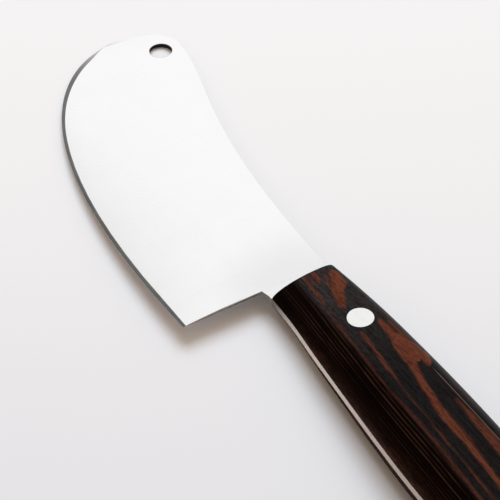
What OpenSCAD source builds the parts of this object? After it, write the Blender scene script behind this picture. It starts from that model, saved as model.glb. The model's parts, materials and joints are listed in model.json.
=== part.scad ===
// Cheese knife: a broad round-tipped blade with a full tang, two riveted scales.
// The knife lies on its side: tip towards -X, butt towards +X, cutting edge towards -Y,
// left side up. Sizes are drawn from the heel and the handle's axis, then centred.

/* [Blade] */
// Length of the blade from the heel to the tip
blade_len = 116.8; // [100:0.2:140]
// Depth of the heel corner below the handle's axis
edge_drop = 34.3; // [30:0.1:42]
// Height of the spine above the handle's axis at the heel
spine_rise = 9.6; // [8:0.1:10.5]
// Height of the foremost point above the handle's axis
tip_rise = 7.4; // [2:0.2:12]
// Distance from the tip back to the highest point of the blade
crown_back = 10.1; // [7:0.1:14]
// Height of the highest point of the blade above the handle's axis
crown_rise = 24.95; // [23:0.05:30]
// Slope of the cutting edge at the heel, in degrees
heel_slope = 4.4; // [1:0.1:7]
// Reach of the heel corner past the notch, towards the handle
heel_kick = 0.3; // [0:0.1:1.5]
// Inside radius of the notch between the heel and the tang
notch_r = 0.8; // [0.5:0.1:2]
// Height that the lower side of the bare steel falls from the scales to the notch
notch_fall = 0.9; // [0.4:0.1:2]

/* [Steel] */
// Thickness of the steel in the tang and along the spine at the heel
steel_t = 2.1; // [1.8:0.1:3.2]
// Thickness of the spine at the tip
tip_t = 1.5; // [1:0.1:1.7]
// Thickness behind the cutting bevel
behind_edge_t = 0.5; // [0.35:0.05:0.8]
// Width of the cutting bevel along the straight of the edge
bevel_w = 0.95; // [0.7:0.05:1.4]
// Width of the cutting bevel round the belly of the edge, near the tip
belly_bevel_w = 1.55; // [1.2:0.05:2]
// Thickness of the cutting edge itself
edge_t = 0.08; // [0.05:0.01:0.2]
// Width of the broken corner along the spine
spine_break = 0.2; // [0.1:0.05:0.4]

/* [Hanging hole] */
// Diameter of the hanging hole
hang_d = 7; // [5:0.1:8.5]
// Distance from the tip to the hole's centre
hang_back = 11.6; // [9:0.1:16]
// Depth of the hole's centre below the highest point of the blade
hang_drop = 7.1; // [6:0.05:9]

/* [Handle] */
// Length of the handle
handle_len = 117; // [105:1:130]
// Bare steel between the heel and the front of the scales
ricasso_len = 4.6; // [4.4:0.1:7]
// Width of the handle at its widest
handle_w = 27; // [25:0.2:31]
// Thickness of the handle at its thickest
handle_t = 16.6; // [14:0.2:20]
// Height of the flat side that each scale has along the steel at mid handle
side_land = 1.2; // [0.6:0.1:2]
// Length of the rounding at the butt
butt_round = 13; // [10:0.5:16]
// Length of the rounding over the butt, seen from the side
butt_drop = 3.2; // [2:0.1:5]

/* [Rivets] */
// Diameter of the rivet heads
head_d = 7; // [6:0.1:8]
// Depth of a rivet head at its middle
head_t = 2.2; // [1.6:0.1:2.8]
// Outside diameter of the rivet's tube
tube_d = 4.6; // [4:0.1:5]
// Bore of the rivet's tube
bore_d = 3; // [2.4:0.1:3.4]
// Distance from the front of the scales to the front rivet
front_rivet_back = 22; // [18:0.1:26]
// Distance from the butt to the rear rivet
rear_rivet_in = 23.5; // [20:0.5:30]
// Height of the rivets above the handle's axis
rivet_rise = 2.9; // [1:0.1:4]
// Clearance round each rivet, on the radius
rivet_gap = 0.03; // [0.02:0.01:0.06]

/* [Hidden] */
$fn = 64;

steel_colour = [0.86, 0.86, 0.87];
rivet_colour = [0.93, 0.93, 0.93];
wood_colour = [0.22, 0.1, 0.06];

// How far a cut runs past the face it opens
overrun = 1;
// Clearance between the pin's end and the bottom of its tube
pin_end_gap = 0.4;
// Clearance between the tube's end and the opposite head
tube_end_gap = 0.3;
// Depth of metal left under the tube's bore
tube_floor = 0.8;
// How far a shank and a tube run into their heads
head_root = 0.5;
// Length over which the ground face rises to the full steel
plunge_len = 5.4;
// Counts of steps along the blade's curves, the heel, the notch and the bare steel
edge_steps = 38;
tip_steps = 14;
heel_steps = 4;
notch_steps = 5;
bare_steps = 3;
// Counts of steps along the handle, round its butt and over each half of a scale
grip_steps = 26;
butt_steps = 10;
half_steps = 9;

// Reach of the edge's and the spine's curves, as shares of the blade's length
edge_heel_share = 0.8;
edge_tip_share = 0.15;
spine_tip_share = 0.186;
spine_heel_share = 0.597;
// Reach of the tip's curve, as shares of its own height and depth
tip_up_share = 0.684;
tip_back_share = 0.396;
// Part of the edge's curve that faces the tip's curve
tip_facing_share = 0.22;
// Places along the handle, as shares of its length
grip_shares = [0, 0.09, 0.2, 0.32, 0.44, 0.56, 0.7, 0.85, 1];
// Reach of the spine side and of the belly side, as shares of the handle's width
spine_side_shares = [0.359, 0.39, 0.417, 0.431, 0.441, 0.442, 0.434, 0.42, 0.41];
belly_side_shares = [0.363, 0.375, 0.418, 0.457, 0.493, 0.52, 0.53, 0.522, 0.54];
// Thickness, as shares of the handle's thickness
thick_shares = [0.59, 0.72, 0.85, 0.94, 0.985, 1, 0.99, 0.96, 0.93];
// Height of the flat side, as shares of its height at mid handle
land_shares = [0.3, 0.36, 0.5, 0.7, 0.9, 1, 1, 1, 1];
// Place of the crest across the handle, as shares of its width from the belly side
crest_shares = [0.66, 0.66, 0.65, 0.64, 0.63, 0.62, 0.6, 0.58, 0.57];
// Where the bevel starts along the edge, and the run over which it opens
bevel_start_share = 0.035;
bevel_open_share = 0.165;
// Where the wide bevel of the belly starts to narrow, and the run over which it narrows
belly_end_share = 0.29;
belly_fade_share = 0.28;
// The run from the tip over which the steel behind the edge thins
edge_fade_share = 0.22;
// Fullness of the two sides of a scale, and of the butt
belly_full = 2.2;
spine_full = 3.6;
butt_full = 2.6;
// Last angle of the butt's rounding, where its flat end starts
butt_last = 80;

half_t = steel_t / 2;
grip_x = ricasso_len;
butt_x = ricasso_len + handle_len;
hang_at = [-blade_len + hang_back, crown_rise - hang_drop];
front_rivet_x = grip_x + front_rivet_back;
rear_rivet_x = butt_x - rear_rivet_in;

// A value from a table, eased between its rows
function row(keys, s, i = 0) = i >= len(keys) - 2 || s < keys[i + 1] ? i : row(keys, s, i + 1);
function eased(keys, tab, s) =
    let (i = row(keys, s), d = keys[i + 1] - keys[i], t = (s - keys[i]) / d,
        g0 = i == 0 ? tab[1] - tab[0]
            : (tab[i + 1] - tab[i - 1]) / (keys[i + 1] - keys[i - 1]) * d,
        g1 = i >= len(keys) - 2 ? tab[i + 1] - tab[i]
            : (tab[i + 2] - tab[i]) / (keys[i + 2] - keys[i]) * d)
    tab[i] * (2 * t ^ 3 - 3 * t ^ 2 + 1) + g0 * (t ^ 3 - 2 * t ^ 2 + t)
    + tab[i + 1] * (3 * t ^ 2 - 2 * t ^ 3) + g1 * (t ^ 3 - t ^ 2);
function smooth(t) = let (c = max(0, min(1, t))) c * c * (3 - 2 * c);
function curve(a, b, c, d, t) =
    (1 - t) ^ 3 * a + 3 * (1 - t) ^ 2 * t * b + 3 * (1 - t) * t ^ 2 * c + t ^ 3 * d;

// Blade outline, from the tip: the lower side runs to the heel, the upper side to the shoulder
tip = [-blade_len, tip_rise];
crown = [-blade_len + crown_back, crown_rise];
heel = [heel_kick, -edge_drop];
shoulder = [0, spine_rise];
edge_out = tip - [0, blade_len * edge_tip_share];
edge_in = heel - blade_len * edge_heel_share * [cos(heel_slope), sin(heel_slope)];
tip_out = tip + [0, (crown_rise - tip_rise) * tip_up_share];
tip_in = crown - [crown_back * tip_back_share, 0];
spine_out = crown + [blade_len * spine_tip_share, 0];
spine_in = shoulder - [blade_len * spine_heel_share, 0];
// The first step starts half a step from the tip, on both sides of it
tip_at = [for (i = [0:tip_steps]) (i + 0.5) / (tip_steps + 0.5)];
edge_at = concat(tip_facing_share * tip_at,
    [for (i = [1:edge_steps]) tip_facing_share + (1 - tip_facing_share) * i / edge_steps]);
low_blade = [for (t = edge_at) curve(tip, edge_out, edge_in, heel, t)];
high_blade = [for (t = tip_at) curve(tip, tip_out, tip_in, crown, t),
    for (i = [1:edge_steps]) curve(crown, spine_out, spine_in, shoulder, i / edge_steps)];

// Handle outline on the spine side and the belly side
function spine_side(s) = handle_w * eased(grip_shares, spine_side_shares, s);
function belly_side(s) = -handle_w * eased(grip_shares, belly_side_shares, s);
function crest(s) = let (b = belly_side(s), t = spine_side(s))
    b + (t - b) * eased(grip_shares, crest_shares, s);
function thick(s) = handle_t / 2 * eased(grip_shares, thick_shares, s);
butt_from = handle_len - butt_round;
grip_at = [for (i = [0:grip_steps]) butt_from * i / grip_steps,
    for (i = [1:butt_steps])
        butt_from + butt_round * (sin(butt_last * i / butt_steps) / sin(butt_last)) ^ (2 / butt_full)];
function butt_share(at) = let (t = max(0, at - butt_from) / butt_round)
    cos(asin(t ^ (butt_full / 2) * sin(butt_last))) ^ (2 / butt_full);
// The crown drops in a quarter round to this share of its height at the butt
butt_left_share = 0.55;
function drop_share(at) = let (t = max(0, at - handle_len + butt_drop) / butt_drop)
    1 - (1 - butt_left_share) * (1 - sqrt(1 - t ^ 2));
// The butt closes towards the middle of its last width
butt_mid = (spine_side(1) + belly_side(1)) / 2;
function grip_top(at) = let (s = at / handle_len)
    butt_mid + (spine_side(s) - butt_mid) * butt_share(at);
function grip_low(at) = let (s = at / handle_len)
    butt_mid + (belly_side(s) - butt_mid) * butt_share(at);

// Notch between the heel and the tang's belly side, and the bare steel up to the scales
notch_y = belly_side(0);
fall_angle = atan(notch_fall / grip_x);
notch_turn = 90 - fall_angle;
notch_low = [0, notch_y - notch_fall - notch_r * tan(notch_turn / 2)];
notch_arc = [for (i = [1:notch_steps]) let (a = 180 - notch_turn * i / notch_steps)
    notch_low + notch_r * [1 + cos(a), sin(a)]];
notch_end = notch_arc[notch_steps - 1];
notch_run = concat([for (i = [1:heel_steps]) heel + (notch_low - heel) * i / heel_steps], notch_arc,
    [for (i = [1:bare_steps]) notch_end + ([grip_x, notch_y] - notch_end) * i / (bare_steps + 1)]);
n_notch = len(notch_run);
function shoulder_y(x) = spine_rise + (spine_side(0) - spine_rise) * smooth(x / grip_x);
high_notch = [for (i = [1:n_notch]) let (x = notch_run[n_notch - 1][0] * i / n_notch)
    [x, shoulder_y(x)]];

low_side = concat(low_blade, notch_run,
    [for (at = grip_at) [grip_x + at, grip_low(at)]]);
high_side = concat(high_blade, high_notch,
    [for (at = grip_at) [grip_x + at, grip_top(at)]]);
n_blade = tip_steps + edge_steps;
n_bare = n_blade + n_notch;
n_all = len(low_side);

// Half thickness of the steel along the spine and just behind the edge
function spine_half(i) = i >= n_blade ? half_t
    : tip_t / 2 + (half_t - tip_t / 2) * smooth(i / n_blade);
function edge_half(i) = behind_edge_t / 2
    + (tip_t - behind_edge_t) / 2 * (1 - smooth(edge_at[i] / edge_fade_share));
function ground_half(y) = behind_edge_t / 2
    + (half_t - behind_edge_t / 2) * max(0, min(1, (y + edge_drop) / (edge_drop + spine_rise)));
function low_half(i) = i <= n_blade ? edge_half(i)
    : i > n_bare ? half_t
    : let (p = low_side[i], g = ground_half(p[1])) g + (half_t - g) * smooth(p[0] / plunge_len);

// The bevel opens out of the broken corner round the tip, and is widest round the belly
function bevel_open(i) = smooth((edge_at[i] - bevel_start_share) / bevel_open_share);
function bevel_at(i) = belly_bevel_w
    + (bevel_w - belly_bevel_w) * smooth((edge_at[i] - belly_end_share) / belly_fade_share);
function low_inset(i) = i > n_blade ? 0 : spine_break + (bevel_at(i) - spine_break) * bevel_open(i);
function low_wall(i) = i > n_blade ? low_half(i)
    : let (w = low_half(i) - spine_break) w + (edge_t / 2 - w) * bevel_open(i);
function high_inset(i) = i > n_bare ? 0 : spine_break;
function high_wall(i) = i > n_bare ? half_t : spine_half(i) - spine_break;
function turn(side, i) = let (d = side[min(len(side) - 1, i + 1)] - side[max(0, i - 1)])
    [-d[1], d[0]] / norm(d);
function low_in(i) = i == n_blade ? heel + bevel_w * (notch_low - heel) / norm(notch_low - heel)
    : low_side[i] + low_inset(i) * turn(low_side, i);
function high_in(i) = high_side[i] - high_inset(i) * turn(high_side, i);
function lift(p, z) = [p[0], p[1], z];

// Each ring of the steel runs from the lower side over the left face and back under
ring_n = 8;
function steel_ring(i) = [
    lift(low_side[i], -low_wall(i)), lift(low_side[i], low_wall(i)),
    lift(low_in(i), low_half(i)), lift(high_in(i), spine_half(i)),
    lift(high_side[i], high_wall(i)), lift(high_side[i], -high_wall(i)),
    lift(high_in(i), -spine_half(i)), lift(low_in(i), -low_half(i))];
// Corners that are not broken share one point
function steel_at(i, k) = let (c = k % ring_n) i * ring_n
    + (i > n_blade && c == 2 ? 1 : i > n_blade && c == 7 ? 0
        : i > n_bare && c == 3 ? 4 : i > n_bare && c == 6 ? 5 : c);
function whole(f) = f[0] != f[1] && f[1] != f[2] && f[2] != f[0];
function halves(q) = [[q[0], q[2], q[1]], [q[0], q[3], q[2]]];

module steel() {
    points = [for (i = [0:n_all - 1]) each steel_ring(i)];
    walls = [for (i = [0:n_all - 2], k = [0:ring_n - 1])
        each halves([steel_at(i, k), steel_at(i + 1, k), steel_at(i + 1, k + 1), steel_at(i, k + 1)])];
    e = n_all - 1;
    ends = [each halves([0, 1, 4, 5]), each halves([1, 2, 3, 4]), each halves([5, 6, 7, 0]),
        each halves([steel_at(e, 5), steel_at(e, 4), steel_at(e, 1), steel_at(e, 0)])];
    polyhedron(points, [for (f = concat(walls, ends)) if (whole(f)) f], convexity = 6);
}

// One scale, over the steel's left face
function scale_crest(at) = butt_mid + (crest(at / handle_len) - butt_mid) * butt_share(at);
function scale_foot(at) = half_t + side_land * eased(grip_shares, land_shares, at / handle_len);
function scale_top(at) = thick(at / handle_len) * drop_share(at);
function full_at(a) = a < 90 ? belly_full : spine_full;
function scale_point(at, j) =
    let (a = 180 * j / (2 * half_steps), c = scale_crest(at), f = 2 / full_at(a),
        side = a < 90 ? grip_low(at) : grip_top(at), foot = scale_foot(at))
    [grip_x + at, c + (side - c) * abs(cos(a)) ^ f,
        foot + (scale_top(at) - foot) * sin(a) ^ f];
function scale_ring(at) = [
    [grip_x + at, grip_low(at), half_t],
    for (j = [0:2 * half_steps]) scale_point(at, j),
    [grip_x + at, grip_top(at), half_t]];

module scale_blank() {
    m = 2 * half_steps + 3;
    n = len(grip_at);
    points = [for (at = grip_at) each scale_ring(at)];
    walls = [for (i = [0:n - 2], k = [0:m - 1])
        each halves([i * m + k, (i + 1) * m + k, (i + 1) * m + (k + 1) % m, i * m + (k + 1) % m])];
    polyhedron(points, concat(walls, [[for (k = [m - 1:-1:0]) k],
        [for (k = [0:m - 1]) (n - 1) * m + k]]), convexity = 4);
}

// The knife is centred over the point it rests on
low_y = min([for (p = low_side) p[1]]);
high_y = max([for (p = high_side) p[1]]);
low_x = min([for (p = concat(low_side, high_side)) p[0]]);
rest_z = max([for (at = grip_at) scale_top(at)]);
module placed() {
    translate([-(low_x + butt_x) / 2, -(low_y + high_y) / 2, rest_z]) children();
}

rivet_places = [[front_rivet_x, rivet_rise], [rear_rivet_x, rivet_rise]];
// Height of the crown over a rivet, and of the seat under its head
function crown_at(p) = scale_top(p[0] - grip_x);
function seat_at(p) = crown_at(p) - head_t;

module drill(p, d) {
    translate([p[0], p[1], -half_t - overrun]) cylinder(d = d, h = steel_t + 2 * overrun);
}

module blade() {
    color(steel_colour) placed() difference() {
        steel();
        drill(hang_at, hang_d);
        for (p = rivet_places) drill(p, tube_d + 2 * rivet_gap);
    }
}

// A round from one height to another
module rise(p, from, to, d) {
    translate([p[0], p[1], from]) cylinder(d = d, h = to - from);
}

module scale() {
    difference() {
        scale_blank();
        for (p = rivet_places) {
            rise(p, half_t - overrun, seat_at(p) + overrun, tube_d + 2 * rivet_gap);
            rise(p, seat_at(p), crown_at(p) + overrun, head_d + 2 * rivet_gap);
        }
    }
}

module left_scale() {
    color(wood_colour) placed() scale();
}

module right_scale() {
    color(wood_colour) placed() mirror([0, 0, 1]) scale();
}

// A rivet head, ground to the crown of its scale
module head(p) {
    intersection() {
        scale_blank();
        rise(p, seat_at(p), crown_at(p) + overrun, head_d);
    }
}

module rivet_pin(p) {
    color(rivet_colour) placed() {
        head(p);
        rise(p, -seat_at(p) + tube_floor + pin_end_gap, seat_at(p) + head_root,
            bore_d - 2 * rivet_gap);
    }
}

module rivet_tube(p) {
    color(rivet_colour) placed() difference() {
        union() {
            mirror([0, 0, 1]) head(p);
            rise(p, -seat_at(p) - head_root, seat_at(p) - tube_end_gap, tube_d);
        }
        rise(p, -seat_at(p) + tube_floor, seat_at(p) + overrun, bore_d);
    }
}

module front_rivet_pin() { rivet_pin(rivet_places[0]); }
module front_rivet_tube() { rivet_tube(rivet_places[0]); }
module rear_rivet_pin() { rivet_pin(rivet_places[1]); }
module rear_rivet_tube() { rivet_tube(rivet_places[1]); }

blade();
left_scale();
right_scale();
front_rivet_pin();
front_rivet_tube();
rear_rivet_pin();
rear_rivet_tube();
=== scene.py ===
import json
import math

import bmesh
import bpy
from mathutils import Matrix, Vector


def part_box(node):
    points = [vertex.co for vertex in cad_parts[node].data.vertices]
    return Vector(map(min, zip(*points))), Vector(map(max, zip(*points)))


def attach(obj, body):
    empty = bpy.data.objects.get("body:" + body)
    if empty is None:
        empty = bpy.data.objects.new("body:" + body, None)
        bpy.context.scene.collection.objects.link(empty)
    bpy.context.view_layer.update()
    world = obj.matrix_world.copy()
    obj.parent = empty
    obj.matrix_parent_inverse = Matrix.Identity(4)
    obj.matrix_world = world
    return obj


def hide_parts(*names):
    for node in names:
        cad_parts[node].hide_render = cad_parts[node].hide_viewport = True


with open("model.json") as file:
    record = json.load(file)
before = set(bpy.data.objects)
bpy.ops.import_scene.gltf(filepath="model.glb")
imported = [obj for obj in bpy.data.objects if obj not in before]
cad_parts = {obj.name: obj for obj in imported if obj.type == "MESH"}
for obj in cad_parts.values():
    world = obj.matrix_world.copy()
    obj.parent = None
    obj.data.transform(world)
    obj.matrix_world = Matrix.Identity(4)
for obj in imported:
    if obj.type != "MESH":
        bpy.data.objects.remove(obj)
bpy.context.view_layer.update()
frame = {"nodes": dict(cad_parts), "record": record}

# Cheese knife: a satin blade with a full tang between two scales of pressed, layered wood.
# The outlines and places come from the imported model. Lengths are in metres.
mm = 0.001

bladeLow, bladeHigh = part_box("blade")
scaleLow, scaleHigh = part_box("left_scale")
midZ = (bladeLow.z + bladeHigh.z) / 2
halfSteel = (bladeHigh.z - bladeLow.z) / 2
gripX = scaleLow.x
buttX = scaleHigh.x


def middleOf(node):
    low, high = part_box(node)
    return (low + high) / 2


frontRivet = middleOf("front_rivet_pin")
rearRivet = middleOf("rear_rivet_pin")
rivetsAbove = 2.9 * mm      # the rivets sit this far to the spine's side of the handle's axis
axisY = frontRivet.y - rivetsAbove
handleLen = buttX - gripX


# Small tools for modelling

def deselect():
    if bpy.context.mode != "OBJECT":
        bpy.ops.object.mode_set(mode="OBJECT")
    bpy.ops.object.select_all(action="DESELECT")


def pick(piece):
    deselect()
    piece.select_set(True)
    bpy.context.view_layer.objects.active = piece


def rename(name):
    piece = bpy.context.active_object
    piece.name = name
    piece.data.name = name
    return piece


def copyOf(piece, name):
    twin = piece.copy()
    twin.data = piece.data.copy()
    twin.name = name
    twin.data.name = name
    twin.parent = None
    twin.hide_render = False
    twin.hide_viewport = False
    for key in list(twin.keys()):
        if key.startswith("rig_"):
            del twin[key]
    bpy.context.scene.collection.objects.link(twin)
    return twin


def cut(piece, other, operation):
    # The manifold solver gives the same pieces on every run, which the exact one doesn't
    pick(piece)
    step = piece.modifiers.new("cut", "BOOLEAN")
    step.operation = operation
    step.solver = "MANIFOLD"
    step.object = other
    bpy.ops.object.modifier_apply(modifier=step.name)


def faceOutwards(piece):
    # The recalculated normals agree with each other, and the sign of the volume tells their side
    pick(piece)
    bpy.ops.object.mode_set(mode="EDIT")
    bpy.ops.mesh.select_all(action="SELECT")
    bpy.ops.mesh.normals_make_consistent(inside=False)
    if bmesh.from_edit_mesh(piece.data).calc_volume(signed=True) < 0:
        bpy.ops.mesh.flip_normals()
    bpy.ops.object.mode_set(mode="OBJECT")


def dress(piece, materials):
    piece.data.materials.clear()
    for material in materials:
        piece.data.materials.append(material)


def settle(piece, angle):
    pick(piece)
    bpy.ops.object.transform_apply(location=True, rotation=True, scale=True)
    bpy.ops.object.shade_smooth_by_angle(angle=math.radians(angle))


def selectWhere(piece, part, test):
    # part is "verts", "edges" or "faces"; the piece is in edit mode
    bpy.ops.mesh.select_mode(type={"verts": "VERT", "edges": "EDGE", "faces": "FACE"}[part])
    bpy.ops.mesh.select_all(action="DESELECT")
    mesh = bmesh.from_edit_mesh(piece.data)
    for item in getattr(mesh, part):
        item.select_set(test(item))
    mesh.select_flush_mode()
    bmesh.update_edit_mesh(piece.data)


# Shader maths: a Value is one output, and plain sums on it add Math nodes

class Value:
    def __init__(self, finish, socket):
        self.finish = finish
        self.socket = socket

    def maths(self, operation, *others):
        inputs = {i: item for i, item in enumerate((self,) + others)}
        return self.finish.node("ShaderNodeMath", {"operation": operation}, inputs)

    def other(self, operation, left):
        return self.finish.node("ShaderNodeMath", {"operation": operation}, {0: left, 1: self})

    def __add__(self, right):
        return self.maths("ADD", right)

    def __radd__(self, left):
        return self.other("ADD", left)

    def __sub__(self, right):
        return self.maths("SUBTRACT", right)

    def __rsub__(self, left):
        return self.other("SUBTRACT", left)

    def __mul__(self, right):
        return self.maths("MULTIPLY", right)

    def __rmul__(self, left):
        return self.other("MULTIPLY", left)

    def __truediv__(self, right):
        return self.maths("DIVIDE", right)

    def __abs__(self):
        return self.maths("ABSOLUTE")


class Finish:
    def __init__(self, name, world=None):
        self.made = world or bpy.data.materials.new(name)
        self.made.use_nodes = True
        self.tree = self.made.node_tree
        self.shader = self.tree.nodes.get("Principled BSDF")

    def node(self, kind, settings=None, inputs=None, output=0):
        node = self.tree.nodes.new(kind)
        for key, value in (settings or {}).items():
            if key == "stops":
                self.fillRamp(node.color_ramp, value)
            elif key == "smooth":
                node.color_ramp.interpolation = value
            else:
                setattr(node, key, value)
        for key, value in (inputs or {}).items():
            self.feed(node.inputs[key], value)
        return Value(self, node.outputs[output])

    def fillRamp(self, ramp, stops):
        while len(ramp.elements) < len(stops):
            ramp.elements.new(1.0)
        for element, (place, colour) in zip(ramp.elements, stops):
            element.position = place
            element.color = (*colour, 1.0)

    def feed(self, socket, value):
        if isinstance(value, Value):
            self.tree.links.new(value.socket, socket)
        else:
            socket.default_value = value

    def set(self, **sockets):
        for name, value in sockets.items():
            self.feed(self.shader.inputs[socketNames[name]], value)

    def objectPlace(self, origin=(0, 0, 0)):
        # The place on the piece in millimetres, from the given origin
        at = self.node("ShaderNodeTexCoord", output="Object")
        moved = self.node("ShaderNodeVectorMath", {"operation": "SUBTRACT"}, {0: at, 1: origin})
        return self.node("ShaderNodeMapping", {}, {"Vector": moved, "Scale": (1 / mm, 1 / mm, 1 / mm)})

    def towards(self, vector, way):
        return self.node("ShaderNodeVectorMath", {"operation": "DOT_PRODUCT"},
                         {0: vector, 1: way}, output="Value")

    def split(self, vector):
        parts = self.node("ShaderNodeSeparateXYZ", {}, {0: vector})
        outputs = parts.socket.node.outputs
        return [Value(self, outputs[i]) for i in range(3)]

    def join(self, x, y, z):
        return self.node("ShaderNodeCombineXYZ", {}, {0: x, 1: y, 2: z})

    def stretch(self, vector, sizes):
        # Divides each direction by a size in millimetres, so that a noise of scale 1 has that grain
        return self.node("ShaderNodeVectorMath", {"operation": "DIVIDE"}, {0: vector, 1: sizes})

    def noise(self, vector, sizes, detail=2.0, rough=0.5):
        return self.node("ShaderNodeTexNoise", {"noise_dimensions": "3D"},
                         {"Vector": self.stretch(vector, sizes), "Scale": 1.0,
                          "Detail": detail, "Roughness": rough})

    def ease(self, value, low, high, start=0.0, end=1.0):
        return self.node("ShaderNodeMapRange", {"interpolation_type": "SMOOTHSTEP"},
                         {"Value": value, "From Min": low, "From Max": high,
                          "To Min": start, "To Max": end})

    def blend(self, share, first, second):
        # The Mix node's inputs 6 and 7 and its output 2 are the ones for colours
        return self.node("ShaderNodeMix", {"data_type": "RGBA"},
                         {0: share, 6: first, 7: second}, output=2)

    def bump(self, height, depth):
        # depth is the relief in metres of a height that runs from 0 to 1
        return self.node("ShaderNodeBump", {}, {"Height": height, "Distance": depth})


socketNames = {"colour": "Base Color", "rough": "Roughness", "metal": "Metallic",
               "normal": "Normal", "specular": "Specular IOR Level", "coat": "Coat Weight",
               "coatRough": "Coat Roughness"}


def rgb(red, green, blue):
    return (red, green, blue, 1.0)


# Steel of the blade: fine satin lines from the spine to the edge. Reliefs are in metres.
satin = {
    "colour": rgb(0.985, 0.985, 0.987),
    "dim": rgb(0.962, 0.962, 0.966),
    "neckShade": rgb(0.86, 0.852, 0.86),     # painted shade and painted dark reflection beside the handle
    "neckShadeShare": 0.85,
    "neckShadeReach": (10.0, 32.0),          # from the middle of the grip's front, in mm
    "rough": 0.26,
    "roughSpread": 0.1,
    "wornSpread": 0.06,
    "line": (0.09, 26.0, 4.0),          # sizes of the noises, in mm, here and in the other finishes
    "broad": (30.0, 14.0, 6.0),
    "worn": (7.0, 9.0, 3.0),
    "relief": 0.0000007,
}


def satinSteel():
    finish = Finish("satinSteel")
    place = finish.objectPlace()
    lines = finish.noise(place, satin["line"], 3.0, 0.6)
    broad = finish.noise(place, satin["broad"], 2.0)
    worn = finish.noise(place, satin["worn"], 4.0, 0.62)
    tone = finish.ease(lines * 0.6 + broad * 0.4, 0.3, 0.7)
    fromGrip = finish.node("ShaderNodeVectorMath", {"operation": "DISTANCE"},
                           {0: place, 1: (gripX / mm, axisY / mm, midZ / mm)}, output="Value")
    # The steel beside the handle is painted darker: painted shade and a painted reflection of the dark
    # wood
    neckShade = finish.ease(fromGrip + broad * 8.0, *satin["neckShadeReach"], satin["neckShadeShare"], 0.0)
    colour = finish.blend(neckShade, finish.blend(tone, satin["dim"], satin["colour"]), satin["neckShade"])
    rough = satin["rough"] + (lines - 0.5) * satin["roughSpread"] + (worn - 0.5) * satin["wornSpread"]
    finish.set(colour=colour, rough=rough, normal=finish.bump(lines, satin["relief"]), metal=1.0)
    return finish.made


# Cutting bevel: coarser scratches, darker than the satin partly for the coarser grind and partly as a
# painted dark reflection, and brighter where it runs out at the tip
bevelGrindAndReflection = {
    "colour": rgb(0.13, 0.13, 0.128),
    "light": rgb(0.24, 0.24, 0.235),
    "bright": rgb(0.93, 0.93, 0.932),
    "runOut": (-13.0, 17.0),     # up the blade, in mm
    "scratch": (0.07, 0.9, 0.3),
    "broad": (5.0, 5.0, 5.0),
    "rough": 0.34,
    "roughSpread": 0.2,
    "relief": 0.000004,
}


def bevelSteelWithReflection():
    finish = Finish("bevelSteelWithReflection")
    place = finish.objectPlace()
    scratches = finish.noise(place, bevelGrindAndReflection["scratch"], 3.0, 0.7)
    broad = finish.noise(place, bevelGrindAndReflection["broad"], 2.0)
    tone = finish.ease(scratches * 0.7 + broad * 0.3, 0.3, 0.72)
    upBlade = finish.split(place)[1]
    runOut = finish.ease(upBlade, *bevelGrindAndReflection["runOut"])
    # These dark colours are partly a painted reflection of dark surroundings
    colour = finish.blend(tone, bevelGrindAndReflection["colour"], bevelGrindAndReflection["light"])
    finish.set(colour=finish.blend(runOut * runOut, colour, bevelGrindAndReflection["bright"]),
               rough=bevelGrindAndReflection["rough"] + (scratches - 0.5) * bevelGrindAndReflection["roughSpread"],
               normal=finish.bump(scratches, bevelGrindAndReflection["relief"]), metal=1.0)
    return finish.made


# Rim of the steel: belt-ground along the outline, flush with the wood. Its warm tint is a painted
# reflection of the shaded floor. It is darker towards the butt, and painted shade darkens the very
# front. The reaches are in mm behind the front of the grip.
rimGrindAndPaintedLight = {
    # warm colours: a painted reflection of the shaded floor
    "low": rgb(0.665, 0.545, 0.458),
    "high": rgb(0.855, 0.72, 0.624),
    "rear": rgb(0.41, 0.33, 0.27),
    "rearShare": 0.5,
    "rearReach": (30.0, 75.0),
    # painted shade on the very front of the rim
    "front": rgb(0.33, 0.3, 0.275),
    "frontShadeShare": 0.85,
    "frontShadeReach": (17.0, 0.0),
    "scratch": (6.0, 3.0, 0.07),
    "chatter": (0.5, 0.5, 1.5),
    "rough": 0.36,
    "roughSpread": 0.22,
    "relief": 0.000004,
}


def rimSteelWithPaintedLight():
    finish = Finish("rimSteelWithPaintedLight")
    place = finish.objectPlace()
    behind = finish.split(place)[0] - gripX / mm
    lines = finish.noise(place, rimGrindAndPaintedLight["scratch"], 3.0, 0.65)
    chatter = finish.noise(place, rimGrindAndPaintedLight["chatter"], 3.0, 0.6)
    tone = finish.ease(lines * 0.65 + chatter * 0.35, 0.3, 0.7)
    ground = finish.blend(tone, rimGrindAndPaintedLight["low"], rimGrindAndPaintedLight["high"])
    rear = finish.ease(behind, *rimGrindAndPaintedLight["rearReach"]) * rimGrindAndPaintedLight["rearShare"]
    # Painted shade darkens the very front of the rim, where it lies in shadow
    front = finish.ease(behind, *rimGrindAndPaintedLight["frontShadeReach"]) * rimGrindAndPaintedLight["frontShadeShare"]
    ground = finish.blend(rear, ground, rimGrindAndPaintedLight["rear"])
    finish.set(colour=finish.blend(front, ground, rimGrindAndPaintedLight["front"]),
               rough=rimGrindAndPaintedLight["rough"] + (lines - 0.5) * rimGrindAndPaintedLight["roughSpread"],
               normal=finish.bump(lines, rimGrindAndPaintedLight["relief"]), metal=1.0)
    return finish.made


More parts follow.
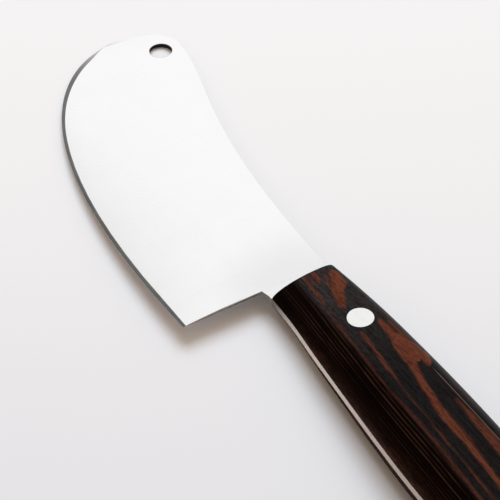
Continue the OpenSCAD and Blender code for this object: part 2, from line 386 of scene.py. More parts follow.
# Wall of the hanging hole, cut edges ahead of the grip, and their eased corners: blanked, and left
# dull. Their darkness is painted shade and painted dark reflection, near black in the hole. Each has
# its darkest and its lightest colour.
blankedAndShaded = {
    # near black: painted shade and dark reflection inside the hanging hole
    "holeWallShade": (rgb(0.006, 0.006, 0.006), rgb(0.03, 0.028, 0.027)),
    # brownish and dark: a painted reflection of the shaded floor on the heel and notch faces
    "cutEdgeShade": (rgb(0.3, 0.265, 0.23), rgb(0.55, 0.5, 0.45)),
    # dark: painted shade along the eased corners
    "cornerShade": (rgb(0.12, 0.11, 0.1), rgb(0.3, 0.28, 0.26)),
    "marks": (0.3, 0.3, 1.4),
    "rough": 0.46,
    "roughSpread": 0.16,
    "relief": 0.000008,
}


def blankedShadedSteel(name):
    finish = Finish(name)
    marks = finish.noise(finish.objectPlace(), blankedAndShaded["marks"], 3.0, 0.6)
    tone = finish.ease(marks, 0.3, 0.7)
    finish.set(colour=finish.blend(tone, *blankedAndShaded[name]),
               rough=blankedAndShaded["rough"] + marks * blankedAndShaded["roughSpread"],
               normal=finish.bump(marks, blankedAndShaded["relief"]), metal=1.0)
    return finish.made


# Rivets: ground with the wood, so their scratches run along the handle
rivetGround = {
    "low": rgb(0.84, 0.84, 0.835),
    "high": rgb(0.91, 0.91, 0.905),
    "scratch": (8.0, 0.06, 1.5),
    "broad": (2.5, 2.5, 2.5),
    "rough": 0.24,
    "roughSpread": 0.14,
    "relief": 0.000002,
}


def rivetSteel():
    finish = Finish("rivetSteel")
    place = finish.objectPlace()
    lines = finish.noise(place, rivetGround["scratch"], 3.0, 0.6)
    broad = finish.noise(place, rivetGround["broad"], 2.0)
    tone = finish.ease(lines * 0.5 + broad * 0.5, 0.3, 0.7)
    finish.set(colour=finish.blend(tone, rivetGround["low"], rivetGround["high"]),
               rough=rivetGround["rough"] + (lines - 0.5) * rivetGround["roughSpread"],
               normal=finish.bump(lines, rivetGround["relief"]), metal=1.0)
    return finish.made


# Wood of the scales: thin layers of black and red-brown, pressed, shaped and polished. Its places
# are in mm: along from the front of the grip, across from the handle's axis to the spine, and depth
# from the middle of the steel.
wood = {
    "black": rgb(0.0018, 0.0003, 0.0001),
    # the crown's lighter black is partly a painted sheen of the light on the polish
    "crownBlackAndSheen": rgb(0.0125, 0.0118, 0.0125),
    "frontSheenBlack": rgb(0.038, 0.032, 0.032),     # painted sheen of the crown towards the blade
    "brown": rgb(0.068, 0.018, 0.0098),
    "paleBrown": rgb(0.138, 0.041, 0.0225),
    "lineBrown": rgb(0.037, 0.0152, 0.0088),
    "deepBrown": rgb(0.0165, 0.0064, 0.0028),   # haze low on the sides
    "rimBrown": rgb(0.06, 0.0175, 0.006),       # and towards the steel
    "paleLine": rgb(0.17, 0.10, 0.09),
    "rough": 0.44,
    "streakRough": 0.16,
    "poreRough": 0.12,
    "poreDark": 0.4,
    "relief": 0.00002,
    "specular": 0.02,
    "polish": 0.4,           # clear polish, on the spine's shoulder
    "polishRough": 0.32,
    "bow": 3.4,              # rise of the crown from the front to the thickest place
    "bowLength": 65.0,
    "follow": 0.45,          # share of that rise that the layers follow
    "lean": 0.35,            # rise of the layers from belly to spine
    "layer": 0.58,
    "otherSheet": 40.0,      # between the two scales' samples of the same grain
    "otherShift": 1.1,       # the right scale's figure lies this much further across,
    "otherWidth": 0.88,      # and is this much narrower
}

# Sizes of the grain's parts: along, across, and through the layers
grainSizes = {
    "warp": (24.0, 6.0, 9.0),
    "splinter": (11.0, 0.4, 0.9),
    "broadEdge": (9.0, 1.6, 3.0),
    "layers": (70.0, 30.0, wood["layer"] * 0.6),
    "strength": (30.0, 3.0, 0.9),
    "broken": (4.5, 0.5, 0.45),
    "streaks": (9.0, 0.42, 0.5),
    "fleck": (1.5, 0.5, 0.45),
    "pores": (2.4, 0.17, 0.4),
    "haze": (2.6, 0.5, 0.34),
    "mottle": (5.0, 1.3, 1.5),
}

# Where each part fades in: from none at the first place to all of it at the second
zones = {
    "crownBelly": (-3.6, -1.6),
    "crownSpine": (10.2, 9.0),
    "sheenFront": (46.0, 6.0),
    "weakLines": (-5.8, -8.6),
    "lineStart": (0.0, 24.0),
    "flankDeep": (4.8, 0.0),
    "flankLow": (-4.5, -7.5),
    "flankStart": (1.0, 22.0),
    "polish": (8.2, 10.2),
}
# The handle widens to the butt, and these zones with it: their shift across for each mm along
widening = {"crown": 0.05, "flank": 0.04, "deep": 0.03}

# A flame is where the crown shaves along one layer. Its path gives the place along, then across, and
# its half width there. A half width of -1 is past its point.
flames = [
    {"glow": 1.0, "path": [(1.5, 7.3, -1), (3, 7.1, 1.1), (5, 6.7, 1.6), (7, 6.0, 2.0),
                           (9, 5.2, 2.6), (10.2, 4.2, 2.2), (12, 3.0, 1.6), (14, 2.3, 1.3),
                           (16, 1.7, 0.9), (18, 1.5, -1)]},
    {"glow": 0.85, "path": [(0, 2.4, 0.45), (4, 1.9, 0.4), (8, 1.2, -1)]},
    {"glow": 0.68, "path": [(0, -0.6, 0.45), (6, -1.0, 0.45), (12, -1.5, 0.3), (16, -2.0, -1)]},
    {"glow": 0.4, "path": [(0, 0.9, 0.3), (5, 0.3, 0.3), (9, -0.1, -1)]},
    {"glow": 0.45, "path": [(0, -0.3, 0.6), (8, -1.4, 0.55), (12, -2.1, 0.2), (20, -3.2, 0.25),
                            (36, -4.3, 0.35), (46, -4.9, 0.2), (60, -5.1, 0.4), (80, -6.2, 0.6),
                            (117, -8.0, 0.7)]},
    {"glow": 1.0, "path": [(23.5, 6.5, -1), (25, 6.4, 0.5), (28, 6.3, 1.0), (31, 6.2, 1.2),
                           (33, 6.3, 1.9), (36, 6.4, 2.9), (40, 6.4, 3.1), (41.4, 6.3, 2.9),
                           (43, 6.2, -1)]},
    {"glow": 0.75, "path": [(25, 8.4, -1), (27, 8.4, 0.4), (31, 8.5, 0.6), (34, 8.5, 0.7),
                            (38, 8.4, 0.4), (40, 8.4, -1)]},
    {"glow": 1.0, "path": [(38, 8.2, -1), (40, 8.4, 1.3), (42.5, 8.4, 1.3), (44.2, 7.9, 0.8),
                           (46.5, 7.4, -1)]},
    {"glow": 1.0, "path": [(39.5, 4.9, -1), (41, 4.8, 0.9), (43, 4.1, 1.2), (47, 3.2, 1.0),
                           (50, 2.5, 0.95), (55, 1.7, 1.05), (60, 1.0, 1.0), (65, 0.9, 1.05),
                           (70, 0.8, 0.8), (80, 0.0, 0.7), (95, -0.9, 0.8), (108, -1.4, 0.4),
                           (117, -1.8, -0.4)]},
    {"glow": 0.72, "path": [(55, 6.4, -1), (57, 6.4, 0.3), (61, 6.5, 0.7), (66, 6.4, 1.05),
                            (72, 6.3, 1.25), (80, 5.7, 1.3), (95, 4.7, 1.3), (108, 3.6, 0.8),
                            (115, 3.2, -1)]},
    {"glow": 0.72, "path": [(24, 0.2, -1), (27, 0.0, 0.3), (34, -0.7, 0.45), (38, -1.2, 0.4),
                            (45, -2.0, 0.2), (60, -2.8, 0.2), (80, -3.7, 0.2), (100, -4.5, 0.5),
                            (117, -5.1, 0.6)]},
    {"glow": 0.9, "path": [(82, 2.9, -1), (86, 2.7, 0.4), (94, 2.1, 0.9), (103, 1.4, 1.3),
                           (111, 0.7, 1.1), (116, 0.2, -1)]},
    {"glow": 0.6, "path": [(2, 4.6, -1), (3, 4.4, 0.15), (8, 2.9, 0.2), (10, 2.3, -1)]},
]
# A colour ramp holds a path, so its places and widths are scaled to shares of these
flameFrame = {"long": 120.0, "low": -14.0, "high": 28.0, "deepest": 7.0}
# One thin light layer that surfaces beside the spine
paleThread = {
    "middle": 7.85,
    "half": 0.1,
    "start": (45.0, 49.0),
    "end": (78.0, 72.0),
    "share": 0.9,
}


def flameMask(finish, along, across, ragged, flame):
    stops = []
    for x, middle, half in flame["path"]:
        middleShare = (middle - flameFrame["low"]) / flameFrame["high"]
        halfShare = (half + 1) / flameFrame["deepest"]
        stops.append((x / flameFrame["long"], (middleShare, halfShare, 0.0)))
    ramp = finish.node("ShaderNodeValToRGB", {"stops": stops, "smooth": "CARDINAL"},
                       {"Fac": along / flameFrame["long"]})
    middleShare, halfShare = finish.split(ramp)[:2]
    middle = middleShare * flameFrame["high"] + flameFrame["low"]
    half = halfShare * flameFrame["deepest"] - 1.0
    return finish.ease(half - abs(across - middle) + ragged, -0.45, 0.6) * flame["glow"]


def flameShare(finish, along, across, sheet):
    splinter = finish.noise(sheet, grainSizes["splinter"], 3.0, 0.6) - 0.5
    broadEdge = finish.noise(sheet, grainSizes["broadEdge"], 2.0, 0.5) - 0.5
    ragged = splinter * 1.3 + broadEdge * 1.2
    share = flameMask(finish, along, across, ragged, flames[0])
    for flame in flames[1:]:
        share = share.maths("MAXIMUM", flameMask(finish, along, across, ragged, flame))
    return share


# Away from the crown the layers come out edge on, as fine parallel lines
def lineShare(finish, along, across, level, warp):
    bent = finish.join(along, across, level + warp * 0.5)
    layers = finish.noise(bent, grainSizes["layers"], 2.0, 0.5) - 0.5
    strength = finish.noise(bent, grainSizes["strength"], 2.0, 0.5) - 0.5
    beat = ((level + warp * 0.4) * (2 * math.pi / wood["layer"])).maths("SINE")
    lines = finish.ease(beat + layers * 3.0 + strength * 2.6, 0.3, 1.3)
    weak = finish.ease(across + along * widening["flank"], *zones["weakLines"])
    start = finish.ease(along, *zones["lineStart"], 0.3, 1.0)
    return lines * (1.0 - weak * 0.62) * start


# Low on the sides, and most of all beside the steel, the black wood shows brown
def flankShare(finish, along, across, depth, warp):
    deep = finish.ease(depth - along * widening["deep"], *zones["flankDeep"])
    low = finish.ease(across + along * widening["flank"], *zones["flankLow"])
    return deep * low * finish.ease(along + warp * 6.0, *zones["flankStart"], 0.1, 1.0)


def threadShare(finish, along, across):
    share = finish.ease(paleThread["half"] - abs(across - paleThread["middle"]), -0.08, 0.06)
    share = share * finish.ease(along, *paleThread["start"])
    return share * finish.ease(along, *paleThread["end"]) * paleThread["share"]


def layeredWood():
    finish = Finish("layeredWood")
    x, y, z = finish.split(finish.objectPlace((gripX, axisY, midZ)))
    left = finish.node("ShaderNodeMath", {"operation": "GREATER_THAN"}, {0: z, 1: 0.0})
    right = 1.0 - left
    # The right scale has the same kind of figure, running the other way
    along = x * left + (handleLen / mm - x) * right
    across = y * (1.0 - right * (1.0 - wood["otherWidth"])) + right * wood["otherShift"]
    depth = abs(z)
    taper = (1.0 - x / wood["bowLength"]).maths("POWER", 2.0)
    level = depth - (1.0 - taper) * (wood["bow"] * wood["follow"]) + across * wood["lean"]
    sheet = finish.join(along, across, level + left * wood["otherSheet"])
    flat = finish.join(along, across, left * wood["otherSheet"])
    warp = finish.noise(flat, grainSizes["warp"], 2.0, 0.5) - 0.5
    streaks = finish.noise(sheet, grainSizes["streaks"], 4.0, 0.7)
    fleck = finish.noise(sheet, grainSizes["fleck"], 3.0, 0.75)
    mottle = finish.noise(sheet, grainSizes["mottle"], 3.0, 0.6)
    tint = finish.ease(streaks * 0.5 + fleck * 0.5, 0.39, 0.6)

    # Black wood: a painted sheen makes it lightest on the crown, and there towards the blade
    crown = finish.ease(across + along * widening["crown"], *zones["crownBelly"])
    crown = crown * finish.ease(across, *zones["crownSpine"])
    front = finish.ease(along + warp * 10.0, *zones["sheenFront"])
    crownSheenBlack = finish.blend(front, wood["crownBlackAndSheen"], wood["frontSheenBlack"])
    dark = finish.blend((tint * 0.75 + 0.28) * crown, wood["black"], crownSheenBlack)
    haze = finish.ease(finish.noise(sheet, grainSizes["haze"], 4.0, 0.75), 0.45, 0.68)
    flank = flankShare(finish, along, across, depth, warp)
    dark = finish.blend(haze * (flank * 0.86 + 0.04), dark, wood["deepBrown"])
    patches = finish.ease(mottle, 0.38, 0.6, 0.35, 1.5)
    dark = finish.blend(flank * flank * (haze * 0.95 + 0.24) * patches, dark, wood["rimBrown"])

    # Brown layers: lines on the sides, flames on the crown
    broken = finish.ease(finish.noise(sheet, grainSizes["broken"], 3.0, 0.7), 0.36, 0.58, 0.4, 1.0)
    lines = lineShare(finish, along, across, level, warp) * (1.0 - crown * 0.75) * broken
    dark = finish.blend(lines, dark, wood["lineBrown"])
    glow = finish.ease(tint * 0.6 + mottle * 0.7, 0.25, 0.95)
    brown = finish.blend(glow, wood["brown"], wood["paleBrown"])
    colour = finish.blend(flameShare(finish, along, across + warp * 0.5, sheet), dark, brown)
    thread = threadShare(finish, along, across + warp * 0.3)
    colour = finish.blend(thread, colour, wood["paleLine"])
    porous = finish.ease(finish.noise(sheet, grainSizes["pores"], 2.0, 0.7), 0.62, 0.76)
    colour = finish.blend(porous * wood["poreDark"], colour, wood["black"])
    finish.set(colour=colour,
               rough=wood["rough"] + (streaks - 0.5) * wood["streakRough"] + porous * wood["poreRough"],
               normal=finish.bump(streaks * 0.5 - porous * 0.5, wood["relief"]),
               specular=wood["specular"], coatRough=wood["polishRough"],
               coat=finish.ease(across, *zones["polish"]) * wood["polish"])
    return finish.made


# Blade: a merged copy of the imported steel, with its sharp corners eased. The levels are the least
# upward or downward parts of a face's normal: of the ground sides, the bevel and the rounded spine.
bladeForm = {
    "flatLevel": 0.994,
    "bevelLevel": 0.75,
    "roundLevel": 0.6,
    "edgeward": -0.4,        # faces that look this much towards the cutting edge aren't the spine's
    "holeReach": 4.2 * mm,
    "shadedPast": 0.4 * mm,
    "bareLength": 4.6 * mm,  # from the scales forward to the line of the heel
    "easing": 0.13 * mm,     # of the heel's, the notch's and the hole's corners
    "easingReach": 0.05 * mm,
    "cornerAngle": 60.0,
    "weld": 0.002 * mm,
    "flatTo": 0.4,           # in degrees: smaller bends between faces are merged away
    "smoothTo": 12,
}
hangingHole = frame["record"]["mounts"][0]
hole = Vector(hangingHole["pos_m"])
holeRadius = hangingHole["dims"]["r_mm"] * mm


def isCorner(edge):
    if len(edge.link_faces) != 2 or edge.calc_face_angle(0) < math.radians(bladeForm["cornerAngle"]):
        return False
    close = bladeForm["easingReach"]
    heelFrom = gripX - bladeForm["bareLength"] - bladeForm["easing"]
    atHole = all(abs((v.co.xy - hole.xy).length - holeRadius) < close for v in edge.verts)
    atHeel = all(heelFrom < v.co.x < gripX - close and v.co.y < axisY for v in edge.verts)
    return atHole or atHeel


def finishOf(face):
    level = abs(face.normal.z)
    reach = (Vector(face.center).xy - hole.xy).length
    if level > bladeForm["flatLevel"]:
        return "satin"
    if level > bladeForm["bevelLevel"] and face.center.x < gripX:
        return "bevel"
    if reach < bladeForm["holeReach"]:
        return "hole"
    if level > bladeForm["roundLevel"] and face.normal.y > bladeForm["edgeward"]:
        return "satin"
    return "cut" if face.center.x < gripX + bladeForm["shadedPast"] else "rim"


def makeBlade(materials):
    slots = {name: i for i, name in enumerate(materials)}
    piece = copyOf(frame["nodes"]["blade"], "bladeSteel")
    pick(piece)
    bpy.ops.object.mode_set(mode="EDIT")
    bpy.ops.mesh.select_all(action="SELECT")
    bpy.ops.mesh.remove_doubles(threshold=bladeForm["weld"])
    bpy.ops.mesh.customdata_custom_splitnormals_clear()
    bpy.ops.mesh.dissolve_limited(angle_limit=math.radians(bladeForm["flatTo"]))
    bpy.ops.object.mode_set(mode="OBJECT")
    dress(piece, materials.values())
    bpy.ops.object.mode_set(mode="EDIT")
    selectWhere(piece, "edges", isCorner)
    bpy.ops.mesh.bevel(offset=bladeForm["easing"], segments=2, affect="EDGES", material=slots["corner"])
    bpy.ops.object.mode_set(mode="OBJECT")
    for face in piece.data.polygons:
        if face.material_index != slots["corner"]:
            face.material_index = slots[finishOf(face)]
    settle(piece, bladeForm["smoothTo"])
    return piece


# Scales: a loft of softened sections along the handle. The tables give shares of the width and of
# the thickness, at these places from the front to the butt. A fuller curve bulges more: 2 is round.
scaleForm = {
    "places": [0, 0.09, 0.2, 0.32, 0.44, 0.56, 0.7, 0.85, 1],
    "spineSide": [0.359, 0.39, 0.417, 0.431, 0.441, 0.442, 0.434, 0.42, 0.41],
    "bellySide": [0.363, 0.375, 0.418, 0.457, 0.493, 0.52, 0.53, 0.522, 0.54],
    "thickness": [0.59, 0.72, 0.85, 0.94, 0.985, 1, 0.99, 0.96, 0.93],
    "land": [0.1, 0.2, 0.42, 0.68, 0.9, 1, 1, 1, 1],
    "crest": [0.66, 0.66, 0.65, 0.64, 0.63, 0.62, 0.6, 0.58, 0.57],
    "width": 27 * mm,
    "sideLand": 1.2 * mm,    # height of the flat side, beside the steel
    "bellyFull": [1.78, 1.82, 1.94, 2.08, 2.18, 2.2, 2.2, 2.2, 2.2],
    "spineFull": 3.6,
    "buttFull": 2.6,
    "buttRound": 13 * mm,
    "buttDrop": 3.2 * mm,
    "buttLast": 80,          # degrees of the butt's quarter turn that are modelled
    "buttLeft": 0.55,        # of the thickness, at the very end
    "gripSteps": 56,
    "buttSteps": 20,
    "quarterSteps": 16,
    "frontEasing": 0.22 * mm,
    "easedAbove": 0.3 * mm,  # the joint with the steel stays sharp
    "smoothTo": 35,
}
topHalf = scaleHigh.z - midZ


def eased(table, share):
    # A smooth curve through the table's values
    keys = scaleForm["places"]
    row = max(i for i in range(len(keys) - 1) if i == 0 or share >= keys[i])
    gap = keys[row + 1] - keys[row]
    t = (share - keys[row]) / gap

    def slope(i):
        if i == 0 or i == len(keys) - 1:
            return table[row + 1] - table[row]
        return (table[i + 1] - table[i - 1]) / (keys[i + 1] - keys[i - 1]) * gap
    return (table[row] * (2 * t ** 3 - 3 * t ** 2 + 1) + slope(row) * (t ** 3 - 2 * t ** 2 + t)
            + table[row + 1] * (3 * t ** 2 - 2 * t ** 3) + slope(row + 1) * (t ** 3 - t ** 2))


def buttMiddle():
    return scaleForm["width"] * (scaleForm["spineSide"][-1] - scaleForm["bellySide"][-1]) / 2


def sectionRing(at):
    form = scaleForm
    share = at / handleLen
    past = max(0, at - handleLen + form["buttRound"]) / form["buttRound"]
    last = math.radians(form["buttLast"])
    turn = math.asin(past ** (form["buttFull"] / 2) * math.sin(last))
    closing = math.cos(turn) ** (2 / form["buttFull"])
    dropped = max(0, at - handleLen + form["buttDrop"]) / form["buttDrop"]
    drop = 1 - (1 - form["buttLeft"]) * (1 - math.sqrt(max(0, 1 - dropped ** 2)))
    middle = buttMiddle()
    bellyEdge = -form["width"] * eased(form["bellySide"], share)
    spineEdge = form["width"] * eased(form["spineSide"], share)
    crestLine = bellyEdge + (spineEdge - bellyEdge) * eased(form["crest"], share)
    belly, spine, crest = [middle + (y - middle) * closing for y in (bellyEdge, spineEdge, crestLine)]
    foot = halfSteel + form["sideLand"] * eased(form["land"], share)
    top = topHalf * eased(form["thickness"], share) * drop
    bellyFull = eased(form["bellyFull"], share)
    points = [(belly, halfSteel)]
    steps = form["quarterSteps"]
    for j in range(2 * steps + 1):
        angle = math.pi * j / (2 * steps)
        edge, full = (belly, bellyFull) if j < steps else (spine, form["spineFull"])
        across = abs(math.cos(angle)) ** (2 / full) if j != steps else 0
        rise = math.sin(angle) ** (2 / full) if 0 < j < 2 * steps else 0
        points.append((crest + (edge - crest) * across, foot + (top - foot) * rise))
    points.append((spine, halfSteel))
    return [Vector((gripX + at, axisY + y, midZ + z)) for y, z in points]


def gripPlaces():
    form = scaleForm
    start = handleLen - form["buttRound"]
    last = math.radians(form["buttLast"])
    places = [start * i / form["gripSteps"] for i in range(form["gripSteps"] + 1)]
    for i in range(1, form["buttSteps"] + 1):
        turn = math.sin(last * i / form["buttSteps"]) / math.sin(last)
        places.append(start + form["buttRound"] * turn ** (2 / form["buttFull"]))
    return places


def shapeRing(piece, ring):
    # Moves the selected ring of the section onto its points
    mesh = bmesh.from_edit_mesh(piece.data)
    mesh.verts.ensure_lookup_table()
    chosen = sorted((v for v in mesh.verts if v.select), key=lambda v: v.index)
    for vertex, point in zip(chosen, ring):
        vertex.co = point
    bmesh.update_edit_mesh(piece.data)


def isFrontEdge(edge):
    above = midZ + halfSteel + scaleForm["easedAbove"]
    return all(abs(v.co.x - gripX) < 0.01 * mm and v.co.z > above for v in edge.verts)


def makeBlank(name):
    # The circle only brings the right number of corners, and the first ring gives them their places
    places = gripPlaces()
    first = sectionRing(places[0])
    deselect()
    bpy.ops.mesh.primitive_circle_add(vertices=len(first), radius=topHalf, fill_type="NGON")
    piece = rename(name)
    bpy.ops.object.mode_set(mode="EDIT")
    bpy.ops.mesh.select_all(action="SELECT")
    shapeRing(piece, first)
    for before, after in zip(places, places[1:]):
        bpy.ops.mesh.extrude_region_move(TRANSFORM_OT_translate={"value": (after - before, 0, 0)})
        shapeRing(piece, sectionRing(after))
    faceOutwards(piece)
    bpy.ops.object.mode_set(mode="EDIT")
    selectWhere(piece, "edges", isFrontEdge)
    bpy.ops.mesh.bevel(offset=scaleForm["frontEasing"], segments=3, profile=0.6, affect="EDGES")
    bpy.ops.object.mode_set(mode="OBJECT")
    return piece


# Rivets: two halves each, the pin's shank inside the tube. The heads are ground with the scales.
rivetForm = {
    "headWidth": 7 * mm,
    "headDeep": 2.2 * mm,
    "tubeWidth": 4.6 * mm,
    "boreWidth": 3 * mm,
    "gap": 0.03 * mm,
    "boreFloor": 0.8 * mm,   # metal left between the tube's bore and its head's seat
    "endGap": 0.4 * mm,      # left free at the end of the shank and of the tube
    "root": 0.5 * mm,        # how far a shank or a tube reaches into its own head
    "over": 2 * mm,          # how far the cutting shapes stand proud
    "sides": 96,
    "smoothTo": 30,
}


def rod(name, place, low, high, width):
    deselect()
    bpy.ops.mesh.primitive_cylinder_add(vertices=rivetForm["sides"], radius=width / 2, depth=high - low,
                                        location=(place.x, place.y, (low + high) / 2))
    return rename(name)


def discard(piece):
    bpy.data.objects.remove(piece, do_unlink=True)


def headSeat(place):
    # Heights of the seat under a rivet's head and of the crown there, above the middle of the steel
    ring = sectionRing(place.x - gripX)
    crown = max(point.z for point in ring) - midZ
    return crown - rivetForm["headDeep"], crown


def mirrored(piece, name):
    twin = copyOf(piece, name)
    pick(twin)
    bpy.ops.object.mode_set(mode="EDIT")
    bpy.ops.mesh.select_all(action="SELECT")
    bpy.ops.transform.resize(value=(1, 1, -1), center_override=(0, 0, midZ))
    faceOutwards(twin)
    return twin


def makeScale(blank, material):
    form = rivetForm
    piece = copyOf(blank, "leftScale")
    for place in (frontRivet, rearRivet):
        seat, crown = headSeat(place)
        bore = rod("bore", place, midZ, midZ + crown, form["tubeWidth"] + 2 * form["gap"])
        cut(piece, bore, "DIFFERENCE")
        discard(bore)
        sink = rod("sink", place, midZ + seat, midZ + crown + form["over"],
                   form["headWidth"] + 2 * form["gap"])
        cut(piece, sink, "DIFFERENCE")
        discard(sink)
    dress(piece, [material])
    return piece


def makeHead(blank, place, name):
    seat, crown = headSeat(place)
    head = rod(name, place, midZ + seat, midZ + crown + rivetForm["over"], rivetForm["headWidth"])
    cut(head, blank, "INTERSECT")
    return head


def makePin(blank, place, name, material):
    form = rivetForm
    seat, crown = headSeat(place)
    pin = makeHead(blank, place, name)
    shankLow = midZ - seat + form["boreFloor"] + form["endGap"]
    shank = rod("shank", place, shankLow, midZ + seat + form["root"],
                form["boreWidth"] - 2 * form["gap"])
    cut(pin, shank, "UNION")
    discard(shank)
    dress(pin, [material])
    settle(pin, form["smoothTo"])
    return pin


def makeTube(blank, place, name, material):
    form = rivetForm
    seat, crown = headSeat(place)
    head = makeHead(blank, place, "headAbove")
    tube = mirrored(head, name)
    discard(head)
    wall = rod("wall", place, midZ - seat - form["root"], midZ + seat - form["endGap"],
               form["tubeWidth"])
    cut(tube, wall, "UNION")
    discard(wall)
    bore = rod("bore", place, midZ - seat + form["boreFloor"], midZ + seat + form["over"],
               form["boreWidth"])
    cut(tube, bore, "DIFFERENCE")
    discard(bore)
    dress(tube, [material])
    settle(tube, form["smoothTo"])
    return tube


def standIn(piece, slot, *nodes):
    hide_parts(*nodes)
    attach(piece, "root")


# Floor, light and camera

studio = {
    "tipHalfSteel": 0.76 * mm,              # half the steel's thickness at the tip
    "lean": 0.0449,                         # fall of the floor for each length towards the butt
    "floorSize": 6.0,
    "mottleSize": (60.0, 60.0, 60.0),
    "mottleShift": 12.0,
    "paperRough": 0.9,
    "paperSpecular": 0.1,
    # painted shade: the floor is darker and bluer towards the camera
    "floorNearShade": rgb(0.827, 0.832, 0.88),
    "floorFar": rgb(0.918, 0.904, 0.92),
    "farWay": (-0.853, 0.522, 0.0),         # across the floor, away from the camera
    "farReach": (-110.0, 90.0),             # in mm
    "floorHorizon": rgb(0.65, 0.82, 1.0),   # evens out the warm ambient light beyond the key's reach
    "horizonReach": (200.0, 2400.0),
    "ambient": rgb(1.0, 0.793, 0.605),
    "ambientLevel": 0.54,
    "horizonShare": 0.25,            # of that level, low in the sky
    "keySize": 1.05,
    "keyPlace": (-0.49, 0.3, 1.298),
    "keyPower": 16.25,
    "keyColour": (0.676, 0.833, 0.956),
    "bright": (-0.95, 0.1, 0.3),     # where the white of the studio is brightest in reflections
    "brightReach": (0.4, 0.745),
    "dimReflection": 0.42,
    "dark": (-0.6, -0.35, 0.72),     # a dark wall of the studio, on the belly side
    "darkReach": (0.87, 0.95),
    "darkLeft": 0.3,
}


def makeFloor():
    deselect()
    bpy.ops.mesh.primitive_plane_add(size=studio["floorSize"], location=(0, 0, 0))
    floor = rename("floorSheet")
    # The knife rests on the tip of the blade and the crown of the handle, so the floor leans
    tipHeight = midZ - studio["tipHalfSteel"]
    bpy.ops.object.mode_set(mode="EDIT")
    bpy.ops.mesh.select_all(action="SELECT")
    mesh = bmesh.from_edit_mesh(floor.data)
    for vertex in mesh.verts:
        vertex.co.z = tipHeight - studio["lean"] * (vertex.co.x - bladeLow.x)
    bmesh.update_edit_mesh(floor.data)
    bpy.ops.object.mode_set(mode="OBJECT")
    finish = Finish("palePaper")
    at = finish.objectPlace()
    mottle = (finish.noise(at, studio["mottleSize"], 2.0) - 0.5) * studio["mottleShift"]
    # The floor is painted darker and bluer towards the camera: painted shade where the light falls off
    falloffAway = finish.ease(finish.towards(at, studio["farWay"]) + mottle, *studio["farReach"])
    reach = finish.node("ShaderNodeVectorMath", {"operation": "LENGTH"}, {0: at}, output="Value")
    horizon = finish.ease(reach, *studio["horizonReach"])
    paperWithFalloff = finish.blend(falloffAway, studio["floorNearShade"], studio["floorFar"])
    finish.set(colour=finish.blend(horizon, paperWithFalloff, studio["floorHorizon"]),
               rough=studio["paperRough"], specular=studio["paperSpecular"])
    floor.data.materials.append(finish.made)


def makeWorld():
    world = bpy.data.worlds.new("studioWorld")
    bpy.context.scene.world = world
    finish = Finish("studioWorld", world)
    back = finish.tree.nodes["Background"]
    path = finish.node("ShaderNodeLightPath").socket.node
    camera, glossy, through = [Value(finish, path.outputs[name]) for name in
                               ("Is Camera Ray", "Is Glossy Ray", "Is Transmission Ray")]
    at = finish.node("ShaderNodeTexCoord", output="Generated")
    low, high = studio["brightReach"]
    soft = finish.node("ShaderNodeMapRange", {}, {"Value": finish.towards(at, studio["bright"]),
                                                  "From Min": low, "From Max": high,
                                                  "To Min": studio["dimReflection"], "To Max": 1.0})
    wall = finish.towards(at, studio["dark"])
    soft = soft * finish.ease(wall, *studio["darkReach"], 1.0, studio["darkLeft"])
    # The soft light comes mostly from above. The 1.5 keeps its total on a level floor.
    rise = finish.split(at)[2].maths("MAXIMUM", 0.0)
    overhead = studio["horizonShare"] + rise * (1.5 * (1 - studio["horizonShare"]))
    plain = camera.maths("MAXIMUM", through)
    ambient = overhead * studio["ambientLevel"]
    level = plain + (1.0 - plain) * (glossy * soft + (1.0 - glossy) * ambient)
    tint = finish.blend(plain.maths("MAXIMUM", glossy), studio["ambient"], rgb(1, 1, 1))
    finish.feed(back.inputs["Color"], tint)
    finish.feed(back.inputs["Strength"], level)


def makeLight():
    lamp = bpy.data.lights.new("overheadSoftbox", "AREA")
    lamp.shape = "SQUARE"
    lamp.size = studio["keySize"]
    lamp.energy = studio["keyPower"]
    lamp.color = studio["keyColour"]
    holder = bpy.data.objects.new("overheadSoftbox", lamp)
    holder.location = studio["keyPlace"]
    holder.rotation_euler = (-Vector(studio["keyPlace"])).to_track_quat("-Z", "Y").to_euler()
    holder.visible_glossy = False
    bpy.context.scene.collection.objects.link(holder)


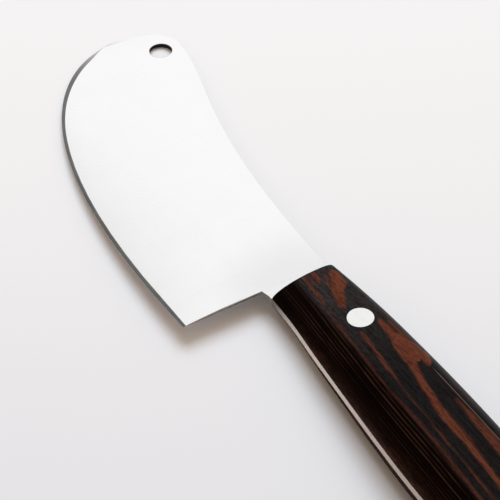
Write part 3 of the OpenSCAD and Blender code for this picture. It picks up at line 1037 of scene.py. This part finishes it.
view = {
    "azimuth": 58.5,
    "elevation": 44.4,
    "focal": 1530.0,          # in pixels of the 500-pixel photograph
    "frameSide": 500.0,
    "distance": 416.8 * mm,
    "aimBehindGrip": -19.6 * mm,
    "aimBelowAxis": -4.6 * mm,
}


def makeCamera():
    lens = bpy.data.cameras.new("photoCamera")
    lens.sensor_width = 36.0
    lens.lens = lens.sensor_width * view["focal"] / view["frameSide"]
    lens.clip_start = 0.01
    lens.clip_end = 20.0
    holder = bpy.data.objects.new("photoCamera", lens)
    turn, rise = math.radians(view["azimuth"]), math.radians(view["elevation"])
    back = Vector((math.sin(turn) * math.cos(rise), -math.cos(turn) * math.cos(rise), math.sin(rise)))
    aim = Vector((gripX + view["aimBehindGrip"], axisY + view["aimBelowAxis"], midZ))
    holder.location = aim + back * view["distance"]
    holder.rotation_euler = (-back).to_track_quat("-Z", "Y").to_euler()
    bpy.context.scene.collection.objects.link(holder)
    bpy.context.scene.camera = holder


scene = bpy.context.scene
scene.view_settings.view_transform = "Standard"
makeCamera()
makeFloor()
makeWorld()
makeLight()
print("floor, light and camera are set")

blade = makeBlade({"satin": satinSteel(), "bevel": bevelSteelWithReflection(), "rim": rimSteelWithPaintedLight(),
                   "hole": blankedShadedSteel("holeWallShade"), "cut": blankedShadedSteel("cutEdgeShade"),
                   "corner": blankedShadedSteel("cornerShade")})
standIn(blade, "blade_steel", "blade")
print("blade is made")

grain = layeredWood()
blank = makeBlank("scaleBlank")
leftScale = makeScale(blank, grain)
rightScale = mirrored(leftScale, "rightScale")
settle(leftScale, scaleForm["smoothTo"])
settle(rightScale, scaleForm["smoothTo"])
standIn(leftScale, "handle_wood", "left_scale")
standIn(rightScale, "handle_wood", "right_scale")
print("scales are made")

ground = rivetSteel()
for spot, end in ((frontRivet, "front"), (rearRivet, "rear")):
    pin = makePin(blank, spot, end + "RivetPin", ground)
    tube = makeTube(blank, spot, end + "RivetTube", ground)
    standIn(pin, "rivet_steel", end + "_rivet_pin")
    standIn(tube, "rivet_steel", end + "_rivet_tube")
discard(blank)
print("rivets are made")
